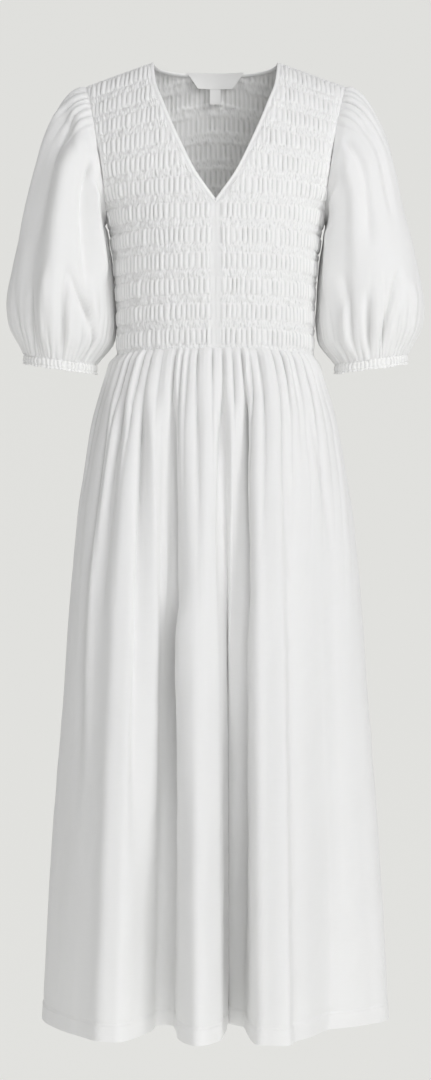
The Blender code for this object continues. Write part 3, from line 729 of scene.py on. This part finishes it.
BACK_SOFT_FOLDS = [
    (-0.118, -0.146, -0.168, 0.04, 0.55, 0.0090, -0.0050),
    (-0.096, -0.118, -0.132, 0.04, 0.60, 0.0080, 0.0050),
    (-0.060, -0.066, -0.070, 0.03, 0.45, 0.0065, -0.0060),
    (-0.024, -0.026, -0.030, 0.05, 0.70, 0.0080, 0.0045),
    (0.010, 0.014, 0.018, 0.03, 0.50, 0.0060, -0.0055),
    (0.044, 0.052, 0.060, 0.04, 0.80, 0.0080, 0.0050),
    (0.074, 0.088, 0.100, 0.03, 0.55, 0.0070, -0.0055),
    (0.098, 0.124, 0.142, 0.05, 0.65, 0.0100, 0.0045),
]


def gathers(share, drop, count, seed, short, long, closed=False):
    """Ridges of cloth drawn into a seam, each with its own height and length."""
    cells = count // 2
    number = share * count + 0.6 * unevenness(share * cells, drop * 3.0, seed,
                                              cells if closed else 64)
    index = np.floor(number) % count if closed else np.floor(number)
    ridge = np.abs(np.sin(math.pi * number)) ** 0.62
    reach = own_size(index * 5, seed + 1, short, long)
    return ridge * own_size(index * 3, seed + 2, 0.40, 1.0) * np.exp(-(drop / reach) ** 1.5)


def soft_folds(x, drop, folds):
    """Sum of the listed ridges and troughs, in metres."""
    height = np.zeros_like(x)
    for top, middle, hem, start, stop, half_width, peak in folds:
        place = curve_at(drop, np.array([0.05, 0.40, 1.0]), np.array([top, middle, hem]))
        shape = np.exp(-((x - place) / half_width) ** 2)
        shown = smooth_step((drop - start) / 0.10) * (1.0 - smooth_step((drop - stop) / 0.25))
        height += peak * shape * shown
    return height


def skirt_outline(drop, is_back):
    """Fine outline of half the skirt at one height, with its large folds."""
    width = curve_at(drop, SKIRT[:, 0], SKIRT[:, 1])
    depth = curve_at(drop, SKIRT[:, 0], SKIRT[:, 3 if is_back else 2])
    x, y = rounded_section(np.linspace(-math.pi / 2, math.pi / 2, 721), width, depth)
    folds = BACK_FOLDS if is_back else FRONT_FOLDS
    spread = (width - SKIRT[0, 1]) / (SKIRT[-1, 1] - SKIRT[0, 1])
    places = folds[:, 0] + (folds[:, 1] - folds[:, 0]) * spread
    grown = folds[:, 2] * np.clip((drop - folds[:, 3]) / (1.0 - folds[:, 3]), 0.0, 1.0)
    y = y + curve_at(x, places, grown) * np.minimum(1.0, y / (0.25 * depth))
    return x, y if is_back else -y


def skirt_panel(is_back, seed):
    """Grid of one panel, its rows down from the waist."""
    share = np.linspace(0.0, 1.0, SKIRT_COLUMNS)
    drops = np.linspace(0.0, 1.0, SKIRT_ROWS) ** 1.25 * (1.0 - 0.030 / SKIRT_LENGTH)
    drops = np.concatenate([drops, 1.0 - HEM_ROWS / SKIRT_LENGTH])
    rows, runs = [], []
    for drop in drops:
        x, y = skirt_outline(drop, is_back)
        run = np.concatenate([[0.0], np.cumsum(np.hypot(np.diff(x), np.diff(y)))])
        x, y = np.interp(share * run[-1], run, x), np.interp(share * run[-1], run, y)
        z = TORSO[0, 4] - SEAM - drop * SKIRT_LENGTH - 0.0045 * (x / 0.13) ** 2 * (1.0 - drop)
        rows.append(np.stack([x, y, z], -1))
        runs.append(run[-1])
    grid = np.array(rows)
    share, drop = np.broadcast_arrays(share[None, :], drops[:, None])
    run = np.array(runs)[:, None]
    if not is_back:
        grid = grid[:, ::-1]
        share = 1.0 - share
    to_side = np.minimum(share, 1.0 - share) * run
    lift = GATHER_HEIGHT * gathers(share, drop, GATHERS, seed, 0.06, 0.30)
    lift += SMALL_GATHER_HEIGHT * gathers(share, drop, SMALL_GATHERS, seed + 20, 0.02, 0.06)
    lift *= 0.45 + 0.55 * smooth_step(drop * SKIRT_LENGTH / 0.012)
    folds = BACK_SOFT_FOLDS if is_back else FRONT_SOFT_FOLDS
    lift += soft_folds(grid[..., 0], drop, folds)
    lift += 0.0009 * unevenness(share * run / 0.035, drop * SKIRT_LENGTH / 0.16, seed + 40)
    lift += 0.0004 * unevenness(share * run / 0.014, drop * SKIRT_LENGTH / 0.030, seed + 41)
    lift *= smooth_step(to_side / 0.012)
    from_hem = (1.0 - drop) * SKIRT_LENGTH
    lift += HEM_STEP * (1.0 - smooth_step((from_hem - HEM_TURN) / 0.0015))
    lift -= 0.0006 * np.exp(-((from_hem - HEM_TURN - 0.001) / 0.0016) ** 2)
    pucker = unevenness(share * run / 0.007, from_hem / 0.012, seed + 42)
    lift += 0.0005 * pucker * np.exp(-((from_hem - HEM_TURN) / 0.010) ** 2)
    lift -= 0.5 * seam_tuck(drop * SKIRT_LENGTH) + seam_tuck(to_side)
    # painted shade in the valleys of the gathers, kept to the top of the skirt
    valley = valley_shade_mask(lift, GATHER_REACH, GATHER_DEEP)
    valley *= 1.0 - smooth_step((drop - 0.10) / 0.30)
    facing = cloth_normals(grid)
    grid = turned_edge(grid + facing * lift[..., None], (0.0, 0.0, 1.0))
    return grid, np.concatenate([valley[:1], valley], 0), facing[-3]


SKIRT_COTTON = cotton_cloth("skirt_cotton", slub=0.9, bump=0.3)
for name, is_back, seed in (("front", False, 101), ("back", True, 151)):
    grid, valley, facing = skirt_panel(is_back, seed)
    panel = cloth_sheet("skirt_panel_" + name, grid, 0.78, 0.87, valley=valley)
    give_wall(panel, COTTON_WALL)
    panel.data.materials.append(SKIRT_COTTON)
    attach(panel, "root")
    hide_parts("skirt_" + name)
    stitch_row("hem_stitches_" + name, grid[-3], facing, pitch=0.0038, length=0.0027,
               thread=0.0005)

# Puff sleeves: one piece each, gathered over the top of the armhole and into the cuff, so that
# the cloth blouses out over the elastic.
SLEEVE_COLUMNS = 240
SLEEVE_ROWS = 92
HEAD_GATHERS = 36
HEAD_HEIGHT = 0.0062
CUFF_PUCKERS = 52
CUFF_PUCKER_HEIGHT = 0.0030
CUFF_FOLDS = 15
CUFF_FOLD_HEIGHT = 0.0056
CUFF_TILT = 0.0036        # by which the cuff's front hangs lower than its middle
#          along  out_x   out_z    in_x    in_z    depth
SLEEVE = np.array([
    (0.00, 0.1613, -0.0160, 0.1308, -0.1840, 0.0570),
    (0.06, 0.1740, -0.0215, 0.1337, -0.1857, 0.0660),
    (0.15, 0.1905, -0.0400, 0.1354, -0.1900, 0.0710),
    (0.28, 0.2080, -0.0740, 0.1340, -0.1985, 0.0730),
    (0.44, 0.2215, -0.1170, 0.1312, -0.2130, 0.0740),
    (0.62, 0.2370, -0.1830, 0.1280, -0.2380, 0.0750),
    (0.78, 0.2500, -0.2400, 0.1255, -0.2680, 0.0760),
    (0.90, 0.2557, -0.2840, 0.1246, -0.3020, 0.0740),
    (0.96, 0.2515, -0.3120, 0.1290, -0.3310, 0.0660),
    (1.00, 0.2365, -0.3465, 0.1485, -0.3590, 0.0505),
])
# Soft folds: angle round the sleeve at its head and at its cuff (0 outside, a quarter turn in
# front), the run along it where each shows, half width in radians and height.
#      head   cuff   from   to    half_w  height
RIGHT_SLEEVE_FOLDS = [
    (1.25, 1.65, 0.04, 0.55, 0.12, -0.0048),
    (1.62, 1.95, 0.08, 0.70, 0.16, 0.0035),
    (2.30, 2.40, 0.06, 0.75, 0.26, 0.0060),
    (0.72, 0.95, 0.10, 0.50, 0.12, -0.0040),
    (2.60, 2.45, 0.35, 0.85, 0.14, 0.0035),
    (-0.60, 1.40, 0.76, 0.93, 0.09, -0.0075),
    (2.60, 1.95, 0.72, 0.90, 0.10, -0.0045),
    (2.10, 2.08, 0.84, 0.99, 0.09, 0.0060),
    (1.66, 1.66, 0.82, 0.99, 0.07, -0.0055),
    (0.60, 0.70, 0.80, 0.97, 0.10, 0.0045),
    (3.70, 3.80, 0.15, 0.60, 0.12, -0.0045),
    (4.20, 4.40, 0.20, 0.85, 0.15, 0.0045),
    (5.00, 4.90, 0.12, 0.55, 0.11, -0.0050),
    (5.60, 5.40, 0.25, 0.90, 0.13, 0.0040),
]
LEFT_SLEEVE_FOLDS = [
    (1.72, 2.26, 0.06, 0.72, 0.15, -0.0100),
    (2.12, 2.66, 0.06, 0.66, 0.15, 0.0090),
    (1.28, 1.45, 0.06, 0.86, 0.24, 0.0085),
    (0.74, 0.86, 0.08, 0.90, 0.28, -0.0100),
    (0.30, 0.30, 0.10, 0.60, 0.12, 0.0035),
    (-0.40, 2.40, 0.74, 0.95, 0.08, -0.0070),
    (1.68, 1.66, 0.72, 0.93, 0.09, -0.0065),
    (2.25, 2.22, 0.76, 0.97, 0.10, 0.0050),
    (0.92, 0.92, 0.82, 0.96, 0.08, -0.0040),
    (1.30, 1.30, 0.74, 0.98, 0.09, 0.0045),
    (3.60, 3.80, 0.20, 0.80, 0.12, 0.0045),
    (4.25, 4.20, 0.12, 0.60, 0.11, -0.0050),
    (4.85, 4.90, 0.25, 0.90, 0.15, 0.0045),
    (5.55, 5.50, 0.12, 0.55, 0.10, -0.0045),
]


def armhole_line(columns):
    """Armhole seam at even steps: from the shoulder down the front and up the back."""
    halves = []
    for is_back in (False, True):
        levels = np.linspace(SHOULDER_LEVEL, UNDERARM_LEVEL, 121)
        edge = np.array([torso_surface(armhole_grain(level, is_back), level, is_back)
                         for level in levels])
        run = np.concatenate([[0.0], np.cumsum(np.linalg.norm(np.diff(edge, axis=0), axis=1))])
        even = np.linspace(0.0, run[-1], columns // 2 + 1)
        half = np.stack([np.interp(even, run, edge[:, axis]) for axis in range(3)], -1)
        halves.append(half)
    return np.concatenate([halves[0][:-1], halves[1][:0:-1]], 0)


def sleeve_rings(along, angle):
    """Plain rings of the sleeve, centres and points; the cuff's front hangs a little lower."""
    out_x, out_z, in_x, in_z, depth = (curve_at(along, SLEEVE[:, 0], SLEEVE[:, column])
                                       for column in range(1, 6))
    zero = np.zeros_like(out_x)
    outer, inner = np.stack([out_x, zero, out_z], -1), np.stack([in_x, zero, in_z], -1)
    centre, span = 0.5 * (outer + inner), 0.5 * (outer - inner)
    side = np.stack([zero, -depth, -CUFF_TILT * smooth_step((along - 0.75) / 0.25)], -1)
    return centre, centre + span * np.cos(angle)[..., None] + side * np.sin(angle)[..., None]


def sleeve_panel(seed, folds):
    """Grid of a sleeve on the right side, its rows from the armhole to the cuff."""
    angle = np.linspace(0.0, 2 * math.pi, SLEEVE_COLUMNS, endpoint=False)
    along = np.linspace(0.0, 1.0, SLEEVE_ROWS)
    along, angle = np.meshgrid(along, angle, indexing="ij")
    centre, ring = sleeve_rings(along, angle)
    first = sleeve_rings(np.zeros_like(along), angle)[1]
    blend = (1.0 - smooth_step(along / 0.4))[..., None]
    grid = ring + (armhole_line(SLEEVE_COLUMNS)[None] - first) * blend
    grid[..., 0] += SEAM
    share = angle / (2 * math.pi)
    top = 0.5 + 0.5 * np.cos(angle)
    lift = HEAD_HEIGHT * gathers(share, along, HEAD_GATHERS, seed, 0.08, 0.34, True) * (
        smooth_step((top - 0.68) / 0.20)) * (0.4 + 0.6 * smooth_step(along / 0.03))
    rest = 1.0 - along
    lift += CUFF_PUCKER_HEIGHT * gathers(share, rest, CUFF_PUCKERS, seed + 9, 0.03, 0.12, True)
    lift += CUFF_FOLD_HEIGHT * gathers(share, rest, CUFF_FOLDS, seed + 15, 0.08, 0.20, True) * (
        smooth_step(rest / 0.05))
    for head, cuff, start, stop, half_width, peak in folds:
        middle = head + (cuff - head) * along
        shape = np.exp(-((angle - middle) / half_width) ** 2)
        lift += peak * shape * smooth_step((along - start) / 0.10) * (
            1.0 - smooth_step((along - stop) / 0.16)) * smooth_step(rest / 0.03)
    lift += 0.0010 * unevenness(share * 16, along * 7.0, seed + 30, cells_round=16)
    lift -= seam_tuck(along * 0.33) + 0.5 * seam_tuck(rest * 0.33)
    # painted shade in the valleys of the gathers, kept near the armhole and the cuff
    valley = valley_shade_mask(lift, GATHER_REACH, GATHER_DEEP, closed=True)
    valley *= 1.0 - smooth_step((np.minimum(along, rest) - 0.06) / 0.20)
    grid = turned_edge(grid + cloth_normals(grid, closed=True) * lift[..., None],
                       (-1.0, 0.0, 0.0))
    return grid, np.concatenate([valley[:1], valley], 0)


SLEEVE_COTTON = cotton_cloth("sleeve_cotton", slub=0.7, bump=0.3)
for name, side, seed, folds in (("right", 1.0, 211, RIGHT_SLEEVE_FOLDS),
                                ("left", -1.0, 251, LEFT_SLEEVE_FOLDS)):
    grid, valley = sleeve_panel(seed, folds)
    if side < 0:
        grid, valley = grid[:, ::-1] * (-1.0, 1.0, 1.0), valley[:, ::-1]
    sleeve = cloth_sheet("puff_sleeve_" + name, grid, 0.44, 0.36, closed=True, valley=valley)
    give_wall(sleeve, COTTON_WALL)
    sleeve.data.materials.append(SLEEVE_COTTON)
    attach(sleeve, "root")
    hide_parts("sleeve_" + name)

# Elastic cuffs: a strip folded over narrow elastic, which ruffles it into close upright
# puckers between two stitched rows.
CUFF_DEPTH = 0.0130
CUFF_FLARE = 0.0010
CUFF_COLUMNS = 352
CUFF_ROWS = 22
CUFF_RIBS = 52
CUFF_RIB_HEIGHT = 0.0018
# CUFF_DEEP: depth at which a valley between the cuff's ribs gets its full painted shade
CUFF_DEEP = 0.0016
CUFF_WALL = 0.0012


def cuff_band(seed):
    """Grid of the right cuff, its rows down from the sleeve."""
    angle = np.linspace(0.0, 2 * math.pi, CUFF_COLUMNS, endpoint=False)
    share = np.linspace(0.0, 1.0, CUFF_ROWS)
    share, angle = np.meshgrid(share, angle, indexing="ij")
    centre, ring = sleeve_rings(np.ones_like(share), angle)
    out = (ring - centre) * (1.0, 1.0, 0.0)
    reach = np.linalg.norm(out, axis=2, keepdims=True)
    grid = ring + out / reach * share[..., None] * CUFF_FLARE
    grid[..., 2] -= SEAM + share * CUFF_DEPTH
    grid[..., 0] += SEAM
    turn = angle / (2 * math.pi)
    number = turn * CUFF_RIBS + 0.3 * unevenness(turn * 40, share * 2.0, seed, cells_round=40)
    ribs = np.abs(np.sin(math.pi * number)) * own_size(np.floor(number), seed + 1, 0.5, 1.0)
    rows = np.exp(-((share - 0.12) / 0.05) ** 2) + np.exp(-((share - 0.80) / 0.06) ** 2)
    lift = CUFF_RIB_HEIGHT * ribs * (1.0 - 0.55 * np.minimum(rows, 1.0)) - 0.0005 * rows
    lift += 0.0004 * unevenness(turn * 60, share * 5.0, seed + 2, cells_round=60)
    ragged = unevenness(turn * 50, share * 0.0, seed + 3, cells_round=50)
    grid[..., 2] += 0.0008 * ragged * smooth_step((share - 0.7) / 0.3)
    # painted shade in the valleys between the cuff's ribs
    valley = valley_shade_mask(lift, SMOCK_REACH, CUFF_DEEP, closed=True)
    grid = turned_edge(grid + out / reach * lift[..., None], (0.0, 0.0, 1.0))
    return grid, np.concatenate([valley[:1], valley], 0)


# painted shade: the cuff is the same white cotton as the sleeve, but its colour is set a little
# darker so that it shows as shaded as the lower sleeve
CUFF_COTTON = cotton_cloth("cuff_cotton", slub=0.5, bump=0.3, white=(0.89, 0.89, 0.885))
for name, side, seed in (("right", 1.0, 311), ("left", -1.0, 351)):
    grid, valley = cuff_band(seed)
    if side < 0:
        grid, valley = grid[:, ::-1] * (-1.0, 1.0, 1.0), valley[:, ::-1]
    cuff = cloth_sheet("elastic_cuff_" + name, grid, 0.34, CUFF_DEPTH, closed=True, valley=valley)
    give_wall(cuff, CUFF_WALL)
    cuff.data.materials.append(CUFF_COTTON)
    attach(cuff, "root")
    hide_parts("cuff_" + name)

# Labels: a main label and a size tab of smooth woven tape, bare, sewn inside the back neck. The
# main label is held along its top edge, and the tab hangs from under it.
LABEL_TOP_HALF = 0.0365
LABEL_BOTTOM_HALF = 0.0225
LABEL_TOP = 0.0120
LABEL_BOTTOM = -0.0068
TAB_LEFT = -0.0075
TAB_RIGHT = 0.0065
TAB_DROP = 0.0180
LABEL_LIFT = 0.5 * (BODICE_WALL + BINDING_WALL) + SEAM
LABEL_WALL = 0.0007
LABEL_HANG = 0.6          # share of the back's slope that it follows below its sewn top edge


def inside_back(x, z):
    """Grid of points on the inside of the back, under a label."""
    side = (x / 0.13) ** 2
    chest = TORSO[4, 4] - side * TORSO[4, 5]
    shoulder = shoulder_height(x)
    level = CHEST_LEVEL + (z - chest) / (shoulder - chest) * (SHOULDER_LEVEL - CHEST_LEVEL)
    grain = np.array([[grain_at(abs(a), b, True) for a, b in zip(*row)]
                      for row in zip(x, level)])
    plain = torso_surface(grain, level, True)
    plain[..., 0] *= np.sign(x)
    return plain


def woven_tape():
    """White satin-faced tape: fine ribs along it and a faint sheen."""
    tape = bpy.data.materials.new("label_tape")
    tape.use_nodes = True
    nodes, links = tape.node_tree.nodes, tape.node_tree.links
    shader = nodes["Principled BSDF"]
    shader.inputs["Roughness"].default_value = 0.45
    shader.inputs["Sheen Weight"].default_value = 0.1
    place = nodes.new("ShaderNodeUVMap")
    place.uv_map = "Cloth"
    ribs = nodes.new("ShaderNodeTexWave")
    ribs.bands_direction = "Y"
    ribs.inputs["Scale"].default_value = 500.0
    links.new(place.outputs["UV"], ribs.inputs["Vector"])
    tone = two_tones(nodes, links, ribs.outputs["Fac"], (0.92, 0.92, 0.91), (0.98, 0.98, 0.975))
    links.new(tone, shader.inputs["Base Color"])
    return tape


LABEL_TAPE = woven_tape()
across, down = np.meshgrid(np.linspace(-1.0, 1.0, 41), np.linspace(0.0, 1.0, 13))
half = LABEL_TOP_HALF + (LABEL_BOTTOM_HALF - LABEL_TOP_HALF) * down
main_outline = (across * half + 1e-7, LABEL_TOP + (LABEL_BOTTOM - LABEL_TOP) * down)
tab_across, tab_down = np.meshgrid(np.linspace(0.0, 1.0, 9), np.linspace(0.0, 1.0, 11))
tab_outline = (TAB_LEFT + (TAB_RIGHT - TAB_LEFT) * tab_across + 1e-7,
               LABEL_BOTTOM - SEAM - TAB_DROP * tab_down)
edge = inside_back(*main_outline)
sewn_edge = (edge - cloth_normals(edge) * LABEL_LIFT)[0, :, 1]
for name, outline, size in (("main", main_outline, (0.073, 0.019)),
                            ("size", tab_outline, (0.014, 0.018))):
    grid = inside_back(*outline)
    grid = grid - cloth_normals(grid) * LABEL_LIFT
    held = np.interp(outline[0][0], main_outline[0][0], sewn_edge)
    grid[..., 1] = held + LABEL_HANG * (grid[..., 1] - held)
    label = cloth_sheet("woven_label_" + name, grid, *size)
    give_wall(label, LABEL_WALL)
    label.data.materials.append(LABEL_TAPE)
    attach(label, "root")
    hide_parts("label_" + name)

# Studio: a pale seamless ground far behind, soft light from the front with more from the right,
# and the camera square to the front at the height of the dress's middle.
GROUND = (0.745, 0.745, 0.725)
GROUND_GLOW = 0.775
FLOOR = -3.80
WALL_Y = 10.0
WALL_TOP = 8.0
NEAR_END = -12.0
GROUND_HALF = 12.0
BEND_RADIUS = 0.5
CAMERA = (0.0, -3.2, -0.578)
LENS = 86.0


def seamless_ground():
    """Floor that curves up into a wall behind the dress."""
    turn = np.linspace(0.0, math.pi / 2, 13)
    ys = np.concatenate([[NEAR_END, -2.0], WALL_Y - BEND_RADIUS * (1.0 - np.sin(turn)), [WALL_Y]])
    zs = np.concatenate([[FLOOR, FLOOR], FLOOR + BEND_RADIUS * (1.0 - np.cos(turn)), [WALL_TOP]])
    xs = np.linspace(-GROUND_HALF, GROUND_HALF, 3)
    grid = np.stack([np.broadcast_to(xs[None], (len(ys), 3)),
                     np.broadcast_to(ys[:, None], (len(ys), 3)),
                     np.broadcast_to(zs[:, None], (len(ys), 3))], -1)
    ground = cloth_sheet("studio_ground", grid, 10.0, 10.0)
    paper = bpy.data.materials.new("studio_paper")
    paper.use_nodes = True
    shader = paper.node_tree.nodes["Principled BSDF"]
    shader.inputs["Base Color"].default_value = (0.30, 0.30, 0.292, 1.0)
    shader.inputs["Roughness"].default_value = 1.0
    shader.inputs["Specular IOR Level"].default_value = 0.0
    shader.inputs["Emission Color"].default_value = (*GROUND, 1.0)
    shader.inputs["Emission Strength"].default_value = GROUND_GLOW
    ground.data.materials.append(paper)


seamless_ground()


def soft_light(name, place, aim, size, power):
    light = bpy.data.lights.new(name, "AREA")
    light.shape = "RECTANGLE"
    light.size, light.size_y = size
    light.energy = power
    lamp = bpy.data.objects.new(name, light)
    lamp.location = place
    lamp.rotation_mode = "QUATERNION"
    lamp.rotation_quaternion = (Vector(aim) - Vector(place)).to_track_quat("-Z", "Y")
    bpy.context.scene.collection.objects.link(lamp)


CHEST = (0.0, 0.0, -0.35)
soft_light("key_right", (2.4, -3.0, 1.3), CHEST, (1.2, 2.0), 54.0)
soft_light("front_fill", (0.5, -3.3, -0.1), CHEST, (0.9, 2.2), 30.0)
world = bpy.data.worlds.new("studio")
bpy.context.scene.world = world
world.use_nodes = True
world.node_tree.nodes["Background"].inputs["Color"].default_value = (1.0, 1.0, 1.0, 1.0)
world.node_tree.nodes["Background"].inputs["Strength"].default_value = 0.42
bpy.context.scene.view_settings.view_transform = "Standard"

lens = bpy.data.cameras.new("photo_camera")
lens.sensor_width = 36.0
lens.lens = LENS
camera = bpy.data.objects.new("photo_camera", lens)
camera.location = CAMERA
camera.rotation_euler = (math.pi / 2, 0.0, 0.0)
bpy.context.scene.collection.objects.link(camera)
bpy.context.scene.camera = camera
